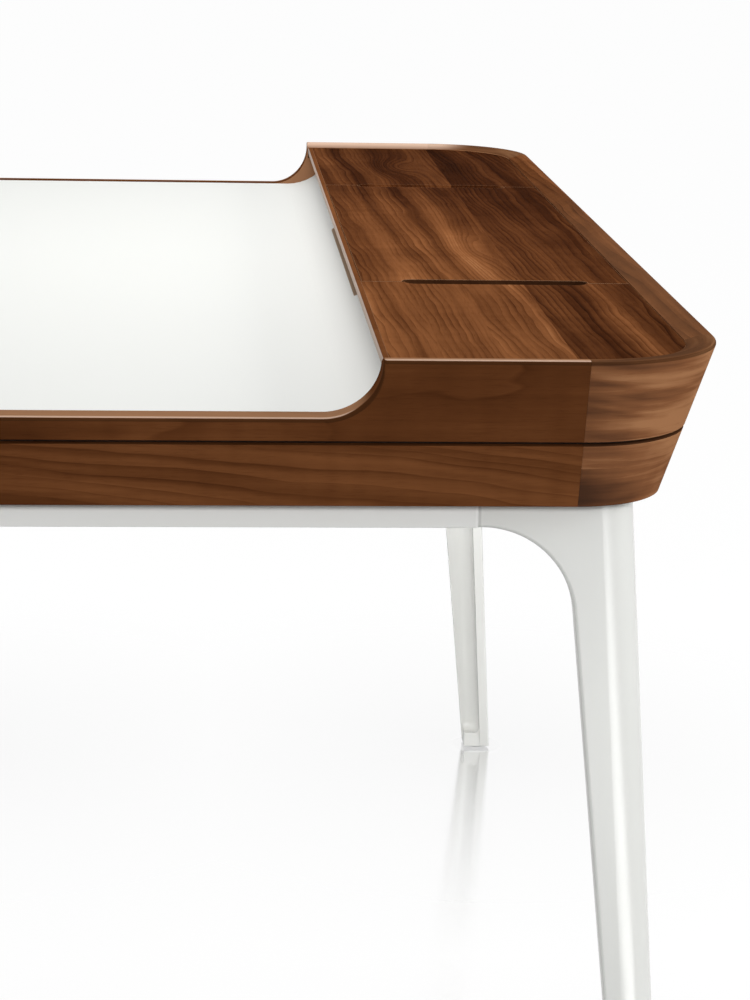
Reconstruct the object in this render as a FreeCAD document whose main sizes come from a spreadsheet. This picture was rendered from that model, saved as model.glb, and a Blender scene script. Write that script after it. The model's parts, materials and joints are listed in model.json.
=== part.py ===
import FreeCAD
import Part

# Writing desk: a flared wooden tray with a white writing surface that sweeps up to a raised rear shelf,
# two shallow drawers in the band below it, and a cast leg frame.
# Millimetres. X runs to the right of the person at the desk, Y to the back, Z up.
# The origin is on the floor under the middle of the desk.
import os
import re

import Sketcher

SIZES = {
    # overall
    "width": 1422,
    "depth": 762,
    "height": 800,
    # wooden case
    "case_height": 121.5,
    "flare": 40,
    "corner_radius": 115,
    "lower_height": 51.5,
    "lower_wall": 20,
    "reveal_height": 3.5,
    "reveal_depth": 9,
    "shelf_rise": 48.2,
    "rim_width": 24,
    "rim_bevel": 13,
    "rim_bevel_drop": 4.5,
    "writing_rim": 26,
    "ledge_width": 15,
    "edge_round": 2.5,
    "cove_front": 119.5,
    "cove_radius": 44,
    "cove_round": 1.5,
    "seat_gap": 0.3,
    "bottom_thickness": 9,
    # writing surface
    "top_thickness": 12,
    "bend_start": 94.5,
    "bend_radius": 60,
    "slot_length": 430,
    "slot_height": 12,
    "slot_lift": 9.5,
    # rear shelf
    "shelf_drop": 5,
    "shelf_thickness": 12,
    "nosing_front": 120.5,
    "nosing_width": 5,
    "nosing_face": 6.5,
    "nosing_round": 1.5,
    "front_rail_width": 28,
    "front_rail_height": 8,
    "seam_spacing": 656,
    "lid_gap": 0.6,
    "scoop_length": 166,
    "scoop_radius": 13,
    "scoop_lift": 7,
    "notch_depth": 12,
    "notch_round": 9,
    "batten_spacing": 440,
    "batten_width": 22,
    "batten_height": 9,
    "batten_inset": 12,
    "partition_thickness": 12,
    "partition_offset": 20,
    "cable_hole_length": 90,
    "cable_hole_width": 36,
    "cable_hole_setback": 30,
    # drawers
    "drawer_gap": 3,
    "front_thickness": 18,
    "front_drop": 1,
    "grip_length": 160,
    "grip_width": 9,
    "grip_depth": 9,
    "drawer_reach": 146.5,
    "drawer_side": 12,
    "drawer_clearance": 2,
    "drawer_headroom": 5,
    "drawer_bottom": 5,
    "bottom_lift": 4,
    "bottom_groove": 5,
    "groove_gap": 0.2,
    "box_inset": 15,
    "divider_thickness": 12,
    "runner_height": 5,
    "runner_fence": 12,
    "fence_height": 22,
    "runner_tail": 25,
    # leg frame
    "leg_inset": 24,
    "leg_splay": 48,
    "leg_top_width": 57,
    "foot_width": 33.5,
    "leg_wall": 12,
    "leg_round": 29,
    "arch_radius": 75,
    "arm_tail": 3,
    "rail_height": 23,
    "flange_width": 34,
    "flange_thickness": 5,
    "pad_reach": 88,
    "foot_block": 18,
    "foot_round": 8,
    "glide_height": 3,
    "glide_radius": 12,
    "glide_bevel": 1,
    "splice_length": 60,
    "splice_height": 13,
    "splice_thickness": 5,
    "screw_radius": 2.5,
    "screw_hole_gap": 0.4,
    "screw_length": 12,
    "screw_head_radius": 5,
    "screw_head_height": 3,
    "screw_edge": 22,
    "screw_reach": 58,
}

# Levels, offsets and radii that follow from the sizes above.
LAYOUT = {
    "half_width": "width / 2",
    "case_z": "height - case_height",
    "reveal_z": "case_z + lower_height",
    "tray_z": "reveal_z + reveal_height",
    "rim_z": "height - shelf_rise",
    "ledge_z": "rim_z - top_thickness",
    "shelf_z": "height - shelf_drop",
    "shelf_low": "shelf_z - shelf_thickness",
    "floor_z": "case_z + bottom_thickness",
    # plan: the corner centres, and radii about them at each level
    # the raised back rim flares out further than the low front rim, so the case's own middle plane
    # lies in front of the middle of the whole depth by middle_shift
    "lean": "flare / case_height",
    "out_rim": "corner_radius - lean * shelf_rise",
    "corner_x": "half_width - corner_radius",
    "corner_y": "(depth - corner_radius - out_rim) / 2",
    "half_depth": "corner_y + corner_radius",
    "middle_shift": "lean * shelf_rise / 2",
    "out_tray": "corner_radius - lean * (height - tray_z)",
    "out_reveal": "corner_radius - lean * (height - reveal_z)",
    "out_case": "corner_radius - flare",
    "in_shelf": "corner_radius - rim_width",
    "in_well": "out_rim - writing_rim",
    "in_ledge": "in_well - ledge_width",
    "in_lower": "out_case - lower_wall",
    # inner face of the end walls: it leans with the outer face, up to the bevelled rim
    "bevel_slope": "rim_bevel_drop / rim_bevel",
    "bevel_out": "in_shelf + rim_bevel",
    "lip_u": "(in_well + lean * (shelf_rise - bevel_slope * bevel_out)) / (1 - lean * bevel_slope)",
    "lip_z": "height - bevel_slope * (bevel_out - lip_u)",
    "in_seat": "in_well + lean * (shelf_low - rim_z)",
    # writing surface
    "bend_z": "rim_z + bend_radius",
    "bend_outer": "bend_radius + top_thickness",
    "riser_top": "shelf_low - front_rail_height",
    "riser_sine": "(bend_z - riser_top) / bend_radius",
    "riser_cosine": "sqrt(1 - riser_sine * riser_sine)",
    "in_riser": "in_well + lean * (riser_top - rim_z)",
    # rear shelf
    "nosing_back": "nosing_front + nosing_width",
    "rail_back": "nosing_back + front_rail_width",
    "seam_x": "seam_spacing / 2",
    "lid_back": "corner_y + in_shelf - lid_gap",
    "scoop_y": "(nosing_back + lid_back) / 2",
    # drawers
    "front_low": "case_z + front_drop",
    "front_high": "reveal_z - drawer_gap / 2",
    "box_in": "divider_thickness / 2 + drawer_clearance",
    "box_out": "corner_x - box_inset",
    "box_low": "floor_z + runner_height",
    "box_high": "reveal_z - drawer_headroom",
    "panel_low": "box_low + bottom_lift",
    "panel_high": "panel_low + drawer_bottom",
    "runner_front": "corner_y + in_lower - seat_gap",
    "runner_back": "drawer_reach + runner_tail",
    # leg frame
    "leg_x": "half_width - flare - leg_inset",
    "leg_y": "half_depth - flare - leg_inset",
    "leg_lean": "leg_splay / (case_z - glide_height)",
    # the round corner stays within the narrow foot
    "leg_turn": "min(leg_round; foot_width - seat_gap)",
    "channel_round": "leg_turn - leg_wall",
    "leg_taper": "(leg_splay + leg_top_width - foot_width) / (case_z - glide_height)",
    "arch_run": "arch_radius * (sqrt(1 + leg_taper * leg_taper) - leg_taper)",
    "arm_reach": "leg_top_width - leg_taper * rail_height + arch_run + arm_tail",
    "rail_z": "case_z - rail_height",
    "arm_x": "leg_x - arm_reach",
    "arm_y": "leg_y - arm_reach",
    "cable_hole_y": "leg_y - flange_width - cable_hole_setback",
}

doc = FreeCAD.newDocument("desk")
nodes = []


def bind(text):
    """Point every size or layout name in a formula at the cell or value that holds it."""
    def full_name(match):
        word = match.group(0)
        if word in SIZES:
            return "Sizes." + word
        if word in LAYOUT:
            return "Layout." + word
        return word
    return re.sub(r"[a-z_]+", full_name, text)


def value(text):
    """The number that a formula stands for now."""
    return float(layout.evalExpression(bind(text)))


def make_sheet():
    sheet = doc.addObject("Spreadsheet::Sheet", "Sizes")
    for row, (name, size) in enumerate(SIZES.items(), start=1):
        sheet.set("A%d" % row, name)
        sheet.set("B%d" % row, str(size))
        sheet.setAlias("B%d" % row, name)
    doc.recompute()


def make_layout():
    values = doc.addObject("App::VarSet", "Layout")
    for name, formula in LAYOUT.items():
        values.addProperty("App::PropertyFloat", name, "Layout")
        values.setExpression(name, bind(formula))
    doc.recompute()
    return values


make_sheet()
layout = make_layout()


def new_body(label):
    body = doc.addObject("PartDesign::Body", label)
    body.Label = label
    body.setExpression("Placement.Base.y", bind("-middle_shift"))
    nodes.append(body)
    return body


def mirrored(source, label, normal):
    """A mirror image of a finished sub-part about one of the case's own middle planes."""
    copy = doc.addObject("Part::Mirroring", label)
    copy.Label = label
    copy.Source = source
    copy.Normal = FreeCAD.Vector(*normal)
    copy.setExpression("Base.y", bind("-middle_shift"))
    nodes.append(copy)
    return copy


def sketch_on(body, role, lift="0", shift="0"):
    """An empty sketch on one of the body's origin planes, lifted along its normal."""
    plane = [feature for feature in body.Origin.OriginFeatures if feature.Role == role][0]
    sketch = body.newObject("Sketcher::SketchObject", "Sketch")
    sketch.AttachmentSupport = [(plane, "")]
    sketch.MapMode = "FlatFace"
    sketch.setExpression("AttachmentOffset.Base.x", bind(shift))
    sketch.setExpression("AttachmentOffset.Base.z", bind(lift))
    return sketch


def tie(sketch, kind, geometry, point, formula):
    """Hold one coordinate of a sketch point at a formula, measured from the sketch origin."""
    index = sketch.addConstraint(Sketcher.Constraint(kind, -1, 1, geometry, point, value(formula)))
    sketch.setExpression("Constraints[%d]" % index, bind(formula))


def draw(sketch, points, arcs=None):
    """Draw a closed outline.

    points: (u, v) formulas of the corners; a third item "u" or "v" ties only that coordinate, which is
    how a corner on an arc is held. arcs: corner number to (centre u, centre v, radius, turn), for the
    stretch that leaves that corner, where turn is 1 for anticlockwise and -1 for clockwise.
    """
    arcs = arcs or {}
    places = [FreeCAD.Vector(value(point[0]), value(point[1]), 0) for point in points]
    starts = []
    ends = []
    for number, place in enumerate(places):
        following = places[(number + 1) % len(places)]
        if number in arcs:
            centre_u, centre_v, radius, turn = arcs[number]
            centre = FreeCAD.Vector(value(centre_u), value(centre_v), 0)
            first, last = (place, following) if turn > 0 else (following, place)
            circle = Part.Circle(centre, FreeCAD.Vector(0, 0, 1), value(radius))
            piece = Part.ArcOfCircle(circle, circle.parameter(first), circle.parameter(last))
            geometry = sketch.addGeometry(piece)
            starts.append((geometry, 1 if turn > 0 else 2))
            ends.append((geometry, 2 if turn > 0 else 1))
            tie(sketch, "DistanceX", geometry, 3, centre_u)
            tie(sketch, "DistanceY", geometry, 3, centre_v)
            index = sketch.addConstraint(Sketcher.Constraint("Radius", geometry, value(radius)))
            sketch.setExpression("Constraints[%d]" % index, bind(radius))
        else:
            geometry = sketch.addGeometry(Part.LineSegment(place, following))
            starts.append((geometry, 1))
            ends.append((geometry, 2))
    for number, point in enumerate(points):
        geometry, end = starts[number]
        sketch.addConstraint(Sketcher.Constraint("Coincident", *ends[number - 1], geometry, end))
        held = point[2] if len(point) > 2 else "uv"
        if "u" in held:
            tie(sketch, "DistanceX", geometry, end, point[0])
        if "v" in held:
            tie(sketch, "DistanceY", geometry, end, point[1])
    return sketch


def rectangle(low_u, high_u, low_v, high_v):
    return [(low_u, low_v), (high_u, low_v), (high_u, high_v), (low_u, high_v)]


def stadium(sketch, middle_u, middle_v, length, width):
    """Draw a slot outline with round ends, long in u."""
    radius = "(%s) / 2" % width
    right = "%s + (%s - %s) / 2" % (middle_u, length, width)
    left = "%s - (%s - %s) / 2" % (middle_u, length, width)
    low = "%s - %s" % (middle_v, radius)
    high = "%s + %s" % (middle_v, radius)
    points = [(left, low, "u"), (right, low, "u"), (right, high, "u"), (left, high, "u")]
    return draw(sketch, points, {1: (right, middle_v, radius, 1), 3: (left, middle_v, radius, 1)})


def circles(sketch, places, radius):
    """Draw equal circles round the given (u, v) formulas."""
    for u, v in places:
        centre = FreeCAD.Vector(value(u), value(v), 0)
        geometry = sketch.addGeometry(Part.Circle(centre, FreeCAD.Vector(0, 0, 1), value(radius)))
        tie(sketch, "DistanceX", geometry, 3, u)
        tie(sketch, "DistanceY", geometry, 3, v)
        index = sketch.addConstraint(Sketcher.Constraint("Radius", geometry, value(radius)))
        sketch.setExpression("Constraints[%d]" % index, bind(radius))
    return sketch


def pad(body, sketch, length):
    feature = body.newObject("PartDesign::Pad", "Pad")
    feature.Profile = sketch
    feature.setExpression("Length", bind(length))
    return feature


def pocket(body, sketch, depth=None, away=False, both=False):
    """Cut a sketch out of the body against its normal, or along it when away is set."""
    doc.recompute()
    before = body.Tip.Shape.Volume
    feature = body.newObject("PartDesign::Pocket", "Pocket")
    feature.Profile = sketch
    feature.Reversed = away
    if depth is None:
        feature.Type = "ThroughAll"
    else:
        feature.setExpression("Length", bind(depth))
    if both:
        feature.SideType = "Symmetric"
    doc.recompute()
    if feature.Shape.Volume >= before:
        raise RuntimeError("a pocket of %s cuts nothing" % body.Label)
    return feature


def spin(body, sketch, angle):
    """Turn a sketch about its own vertical axis."""
    feature = body.newObject("PartDesign::Revolution", "Revolution")
    feature.Profile = sketch
    feature.ReferenceAxis = (sketch, ["V_Axis"])
    feature.Angle = angle
    return feature


def rounded(body, radius, choose):
    """Round every edge of the body that the choose function picks from its end points."""
    doc.recompute()
    base = body.Tip
    names = []
    for number, edge in enumerate(base.Shape.Edges, start=1):
        if choose([vertex.Point for vertex in edge.Vertexes]):
            names.append("Edge%d" % number)
    feature = body.newObject("PartDesign::Fillet", "Fillet")
    feature.Base = (base, names)
    feature.setExpression("Radius", bind(radius))
    doc.recompute()
    return feature


def near(number, formula):
    return abs(number - value(formula)) < 0.01


def upright(points):
    """True for an edge that stands vertically."""
    return abs(points[0].x - points[-1].x) < 0.01 and abs(points[0].y - points[-1].y) < 0.01


# Wall sections. u is measured outwards from the corner centre line, v is the height.

def tall_section(base):
    """Raised rear wall, with a seat for the shelf."""
    steps = [
        ("corner_radius", "height"),
        ("out_tray", "tray_z"),
        ("in_well", "tray_z"),
        ("in_well", "shelf_low"),
        ("in_shelf", "shelf_low"),
        ("in_shelf", "height - rim_bevel_drop"),
        ("bevel_out", "height"),
    ]
    return [("%s + %s" % (base, u), v) for u, v in steps]


def end_section(base):
    """End wall with a ledge for the writing surface; its inner face leans out with the outer one."""
    steps = [
        ("corner_radius", "height"),
        ("out_tray", "tray_z"),
        ("in_ledge", "tray_z"),
        ("in_ledge", "ledge_z"),
        ("in_well", "ledge_z"),
        ("in_well", "rim_z"),
        ("lip_u", "lip_z"),
        ("bevel_out", "height"),
    ]
    return [("%s + %s" % (base, u), v) for u, v in steps]


def low_section(base, sign=""):
    """Front wall of the tray, flush with the writing surface that its ledge carries."""
    steps = [
        ("out_rim", "rim_z"),
        ("out_tray", "tray_z"),
        ("in_ledge", "tray_z"),
        ("in_ledge", "ledge_z"),
        ("in_well", "ledge_z"),
        ("in_well", "rim_z"),
    ]
    return [("%s(%s + %s)" % (sign, base, u), v) for u, v in steps]


def lower_section(base):
    """Band below the dark groove."""
    steps = [("out_reveal", "reveal_z"), ("out_case", "case_z"), ("in_lower", "case_z"), ("in_lower", "reveal_z")]
    return [("%s + %s" % (base, u), v) for u, v in steps]


def make_corner(label, section, quarter, rim=None):
    """One corner block: a wall section turned through a quarter circle about the corner centre."""
    body = new_body(label)
    spin(body, draw(sketch_on(body, "XZ_Plane"), section), 90)
    if rim:
        radius, level = rim

        def on_rim(points):
            return all(near(point.z, level) and near(point.x ** 2 + point.y ** 2, "(%s)^2" % radius)
                       for point in points)
        rounded(body, "edge_round", on_rim)
    sign_x = "" if quarter in (0, 3) else "-"
    sign_y = "" if quarter in (0, 1) else "-"
    body.Placement.Rotation = FreeCAD.Rotation(FreeCAD.Vector(0, 0, 1), 90 * quarter)
    body.setExpression("Placement.Base.x", bind("%scorner_x" % sign_x))
    body.setExpression("Placement.Base.y", bind("%scorner_y - middle_shift" % sign_y))
    return body


def make_upper_end_panel():
    """End wall: tall at the shelf, whose seat stops behind the nosing, then a cove down to the writing rim."""
    body = new_body("upper_end_panel_right")
    pad(body, draw(sketch_on(body, "XZ_Plane", "-corner_y"), end_section("corner_x")), "2 * corner_y")
    past_front = "-corner_y - rim_width"
    past_top = "height + rim_width"
    cove_u = "cove_front - cove_radius"
    cove_v = "rim_z + cove_radius"
    round_u = "cove_front + cove_round"
    round_v = "height - cove_round"
    step = draw(sketch_on(body, "YZ_Plane"), [
        (past_front, "rim_z"),
        (cove_u, "rim_z", "u"),
        ("cove_front", cove_v, "v"),
        ("cove_front", round_v, "v"),
        (round_u, "height", "u"),
        (round_u, past_top),
        (past_front, past_top),
    ], {1: (cove_u, cove_v, "cove_radius", 1), 3: (round_u, round_v, "cove_round", -1)})
    pocket(body, step, away=True)
    seat = rectangle("corner_x + in_ledge", "corner_x + in_shelf", "shelf_low", past_top)
    seat_length = "corner_y - nosing_front + seat_gap"
    pocket(body, draw(sketch_on(body, "XZ_Plane", "-corner_y"), seat), seat_length, away=True)

    def outer_top(points):
        outer = all(near(point.x, "half_width - lean * (height - (%r))" % point.z) for point in points)
        low = all(near(point.z, "tray_z") for point in points)
        end = all(near(abs(point.y), "corner_y") for point in points)
        same_end = end and abs(points[0].y - points[-1].y) < 1
        return outer and not low and not same_end
    rounded(body, "edge_round", outer_top)
    mirrored(body, "upper_end_panel_left", (1, 0, 0))


def make_upper_back_panel():
    body = new_body("upper_back_panel")
    section = draw(sketch_on(body, "YZ_Plane", "-corner_x"), tall_section("corner_y"))
    pad(body, section, "2 * corner_x")
    rounded(body, "edge_round", lambda points: all(
        near(point.z, "height") and near(point.y, "half_depth") for point in points))


def make_upper_front_rail():
    body = new_body("upper_front_rail")
    section = draw(sketch_on(body, "YZ_Plane", "-corner_x"), low_section("corner_y", "-"))
    pad(body, section, "2 * corner_x")
    rounded(body, "edge_round", lambda points: all(
        near(point.z, "rim_z") and near(point.y, "-corner_y - out_rim") for point in points))


def make_upper_corners():
    tall = tall_section("0")
    low = low_section("0")
    for side, back, front in (("right", 0, 3), ("left", 1, 2)):
        make_corner("upper_corner_back_" + side, tall, back, ("corner_radius", "height"))
        make_corner("upper_corner_front_" + side, low, front, ("out_rim", "rim_z"))


def make_lower_band():
    body = new_body("lower_end_panel_right")
    pad(body, draw(sketch_on(body, "XZ_Plane", "-corner_y"), lower_section("corner_x")), "2 * corner_y")
    mirrored(body, "lower_end_panel_left", (1, 0, 0))
    back = new_body("lower_back_panel")
    pad(back, draw(sketch_on(back, "YZ_Plane", "-corner_x"), lower_section("corner_y")), "2 * corner_x")
    for quarter, name in enumerate(("back_right", "back_left", "front_left", "front_right")):
        make_corner("lower_corner_" + name, lower_section("0"), quarter)


def make_plate(label, radius, low, thickness):
    """Horizontal panel that follows the case's plan, with the cable hole near the back."""
    body = new_body(label)
    half_x = "corner_x + %s" % radius
    half_y = "corner_y + %s" % radius
    plan = rectangle("-(%s)" % half_x, half_x, "-(%s)" % half_y, half_y)
    pad(body, draw(sketch_on(body, "XY_Plane", low), plan), thickness)
    rounded(body, radius, upright)
    hole = stadium(sketch_on(body, "XY_Plane", low), "0", "cable_hole_y", "cable_hole_length", "cable_hole_width")
    pocket(body, hole, away=True)
    return body


def make_writing_surface():
    """White panel, bent up at the back in a cove, with the cable slot in the bend."""
    body = new_body("writing_surface")
    front = "-(corner_y + in_well - seat_gap)"
    side = "(corner_x + in_well - seat_gap)"
    wide = "(corner_x + in_seat - seat_gap)"
    bend = draw(sketch_on(body, "YZ_Plane", "-" + wide), [
        (front, "rim_z"),
        ("bend_start", "rim_z", "u"),
        ("bend_start + bend_radius * riser_cosine", "riser_top", "v"),
        ("bend_start + bend_outer * riser_cosine", "bend_z - bend_outer * riser_sine", "v"),
        ("bend_start", "ledge_z", "u"),
        (front, "ledge_z"),
    ], {1: ("bend_start", "bend_z", "bend_radius", 1), 3: ("bend_start", "bend_z", "bend_outer", -1)})
    pad(body, bend, "2 * " + wide)
    for sign in ("", "-"):
        beside_wall = draw(sketch_on(body, "XZ_Plane"), [
            (sign + side, "case_z"),
            (sign + side, "rim_z"),
            (sign + wide, "shelf_low"),
            (sign + "half_width", "shelf_low"),
            (sign + "half_width", "case_z"),
        ])
        pocket(body, beside_wall, both=True)
    rounded(body, "in_well - seat_gap", lambda points: upright(points) and near(points[0].y, front))
    slot = stadium(sketch_on(body, "XZ_Plane"), "0", "rim_z + slot_lift + slot_height / 2", "slot_length",
                   "slot_height")
    pocket(body, slot)


def make_shelf_front():
    rail = new_body("shelf_front_rail")
    side = "(corner_x + in_riser - seat_gap)"
    section = rectangle("nosing_back", "rail_back", "riser_top", "shelf_low")
    pad(rail, draw(sketch_on(rail, "YZ_Plane", "-" + side), section), "2 * " + side)
    nosing = new_body("shelf_nosing")
    side = "(corner_x + in_shelf - seat_gap)"
    section = [
        ("nosing_front", "shelf_z - nosing_face"),
        ("nosing_back", "shelf_low"),
        ("nosing_back", "shelf_z"),
        ("nosing_front", "shelf_z"),
    ]
    pad(nosing, draw(sketch_on(nosing, "YZ_Plane", "-" + side), section), "2 * " + side)
    rounded(nosing, "nosing_round", lambda points: all(near(point.y, "nosing_front") for point in points)
            and abs(points[0].x - points[-1].x) > 1)


def make_shelf_side():
    """Fixed shelf panel with a round outer corner and half of a finger scoop in its inner edge."""
    body = new_body("shelf_side_right")
    inner = "seam_x + lid_gap"
    radius = "in_shelf - seat_gap"
    outer = "corner_x + " + radius
    back = "corner_y + " + radius
    plan = draw(sketch_on(body, "XY_Plane", "shelf_low"), [
        (inner, "nosing_back"),
        (outer, "nosing_back"),
        (outer, "corner_y", "v"),
        ("corner_x", back, "u"),
        (inner, back),
    ], {2: ("corner_x", "corner_y", radius, 1)})
    pad(body, plan, "shelf_thickness")
    low = "scoop_y - scoop_length / 2"
    high = "scoop_y + scoop_length / 2"
    low_centre = low + " + scoop_radius"
    high_centre = high + " - scoop_radius"
    capsule = draw(sketch_on(body, "XY_Plane", "shelf_z + scoop_lift", "seam_x"), [
        ("0", low, "u"),
        ("scoop_radius", low_centre, "v"),
        ("scoop_radius", high_centre, "v"),
        ("0", high, "u"),
    ], {0: ("0", low_centre, "scoop_radius", 1), 2: ("0", high_centre, "scoop_radius", 1)})
    doc.recompute()
    before = body.Tip.Shape.Volume
    scoop = body.newObject("PartDesign::Groove", "Scoop")
    scoop.Profile = capsule
    scoop.ReferenceAxis = (capsule, ["V_Axis"])
    scoop.Angle = 360
    doc.recompute()
    if scoop.Shape.Volume >= before:
        raise RuntimeError("the finger scoop cuts nothing")
    mirrored(body, "shelf_side_left", (1, 0, 0))


def make_lid():
    """Loose centre panel of the shelf, notched at both ends for the fingers."""
    body = new_body("centre_lid")
    end = "seam_x - lid_gap"
    plan = rectangle("-(%s)" % end, end, "nosing_back + lid_gap", "lid_back")
    pad(body, draw(sketch_on(body, "XY_Plane", "shelf_low"), plan), "shelf_thickness")
    for low, high in ((end + " - notch_depth", "seam_x"), ("-seam_x", "-(%s) + notch_depth" % end)):
        cut = rectangle(low, high, "scoop_y - scoop_length / 2", "scoop_y + scoop_length / 2")
        pocket(body, draw(sketch_on(body, "XY_Plane", "shelf_low"), cut), away=True)
    rounded(body, "notch_round", lambda points: upright(points) and near(
        abs(points[0].x), end + " - notch_depth"))
    batten = new_body("lid_batten_right")
    middle = "batten_spacing / 2"
    plan = rectangle(middle + " - batten_width / 2", middle + " + batten_width / 2",
                     "rail_back + batten_inset", "corner_y + in_well - batten_inset")
    pad(batten, draw(sketch_on(batten, "XY_Plane", "shelf_low - batten_height"), plan), "batten_height")
    mirrored(batten, "lid_batten_left", (1, 0, 0))


def make_partition():
    body = new_body("partition_right")
    near_x = "seam_x + partition_offset"
    plan = rectangle(near_x, near_x + " + partition_thickness", "rail_back", "corner_y + in_well")
    pad(body, draw(sketch_on(body, "XY_Plane", "tray_z"), plan), "shelf_low - tray_z")
    mirrored(body, "partition_left", (1, 0, 0))


def front_face(level):
    """Y of the drawer fronts' outer face at a height."""
    return "-(corner_y + corner_radius - lean * (height - (%s)))" % level


def back_face(level):
    """Y of the drawer fronts' inner face at a height."""
    return front_face(level) + " + front_thickness"


def make_drawer_front():
    body = new_body("drawer_right_front")
    section = [
        (front_face("front_low"), "front_low"),
        (back_face("front_low"), "front_low"),
        (back_face("front_high"), "front_high"),
        (front_face("front_high"), "front_high"),
    ]
    pad(body, draw(sketch_on(body, "YZ_Plane", "drawer_gap / 2"), section), "corner_x - drawer_gap")
    grip = stadium(sketch_on(body, "XY_Plane", "front_low"), "corner_x / 2",
                   front_face("front_low") + " + front_thickness / 2", "grip_length", "grip_width")
    pocket(body, grip, "grip_depth", away=True)
    rounded(body, "edge_round", lambda points: all(
        near(point.y, front_face("%r" % point.z)) for point in points) and abs(points[0].x - points[-1].x) > 1)
    return body


def make_drawer_side(label, low_x, groove_low, groove_high):
    body = new_body(label)
    profile = [
        (back_face("box_low"), "box_low"),
        ("drawer_reach", "box_low"),
        ("drawer_reach", "box_high"),
        (back_face("box_high"), "box_high"),
    ]
    pad(body, draw(sketch_on(body, "YZ_Plane", low_x), profile), "drawer_side")
    groove = rectangle(groove_low, groove_high, "panel_low", "panel_high")
    pocket(body, draw(sketch_on(body, "XZ_Plane"), groove), both=True)
    return body


def make_drawers():
    """Right drawer from five boards, and its mirror image on the left."""
    inner_face = "box_in + drawer_side"
    outer_face = "box_out - drawer_side"
    boards = {"front": make_drawer_front()}
    boards["inner_side"] = make_drawer_side("drawer_right_inner_side", "box_in",
                                            inner_face + " - bottom_groove", inner_face + " + bottom_groove")
    boards["outer_side"] = make_drawer_side("drawer_right_outer_side", outer_face,
                                            outer_face + " - bottom_groove", outer_face + " + bottom_groove")
    back = new_body("drawer_right_back")
    plan = rectangle(inner_face, outer_face, "drawer_reach - drawer_side", "drawer_reach")
    pad(back, draw(sketch_on(back, "XY_Plane", "panel_high"), plan), "box_high - panel_high")
    boards["back"] = back
    bottom = new_body("drawer_right_bottom")
    profile = [
        (back_face("panel_low"), "panel_low"),
        ("drawer_reach", "panel_low"),
        ("drawer_reach", "panel_high"),
        (back_face("panel_high"), "panel_high"),
    ]
    start = inner_face + " - bottom_groove + groove_gap"
    length = "box_out - box_in - 2 * drawer_side + 2 * (bottom_groove - groove_gap)"
    pad(bottom, draw(sketch_on(bottom, "YZ_Plane", start), profile), length)
    boards["bottom"] = bottom
    for name, board in boards.items():
        mirrored(board, "drawer_left_" + name, (1, 0, 0))


def make_runners():
    """Centre divider with a ledge for each drawer, and an outer runner with a fence on each side."""
    length = "runner_front + runner_back"
    divider = new_body("centre_divider")
    foot = "box_in + drawer_side"
    web = "divider_thickness / 2"
    section = [
        ("-(%s)" % foot, "floor_z"),
        (foot, "floor_z"),
        (foot, "box_low"),
        (web, "box_low"),
        (web, "reveal_z"),
        ("-" + web, "reveal_z"),
        ("-" + web, "box_low"),
        ("-(%s)" % foot, "box_low"),
    ]
    pad(divider, draw(sketch_on(divider, "XZ_Plane", "-runner_back"), section), length)
    runner = new_body("drawer_runner_right")
    ledge = "box_out - drawer_side"
    fence = "box_out + drawer_clearance"
    section = [
        (ledge, "floor_z"),
        (fence + " + runner_fence", "floor_z"),
        (fence + " + runner_fence", "floor_z + fence_height"),
        (fence, "floor_z + fence_height"),
        (fence, "box_low"),
        (ledge, "box_low"),
    ]
    pad(runner, draw(sketch_on(runner, "XZ_Plane", "-runner_back"), section), length)
    mirrored(runner, "drawer_runner_left", (1, 0, 0))


def leaning_wall(top):
    """Section of a leg wall that leans outwards to the foot. u is measured from the desk's middle."""
    return [
        (top, "case_z"),
        (top + " + leg_splay", "glide_height"),
        (top + " + leg_splay - leg_wall", "glide_height"),
        (top + " - leg_wall", "case_z"),
    ]


def leg_outline(top, arm):
    """What is cut away inside one arm and its leg: below the arm, and inside the tapering leg."""
    inner_at_rail = top + " - leg_top_width + leg_taper * rail_height"
    below = "glide_height - rail_height"
    inner_below = top + " + leg_splay - foot_width + leg_taper * rail_height"
    return [
        (arm + " - leg_wall", "rail_z"),
        (inner_at_rail, "rail_z"),
        (inner_below, below),
        (arm + " - leg_wall", below),
    ]


def beyond_wall(top):
    """The wedge outside a leaning wall, which the other wall of the leg must not reach into."""
    slope = "leg_lean * rail_height"
    return [
        (top + " - " + slope, "case_z + rail_height"),
        (top + " + leg_splay + " + slope, "glide_height - rail_height"),
        (top + " + 2 * leg_splay", "glide_height - rail_height"),
        (top + " + 2 * leg_splay", "case_z + rail_height"),
    ]


def screw_places():
    """Plan positions of the three screws in a leg's top pad."""
    return [
        ("leg_x - screw_edge", "leg_y - screw_edge"),
        ("leg_x - screw_reach", "leg_y - screw_edge"),
        ("leg_x - screw_edge", "leg_y - screw_reach"),
    ]


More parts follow.
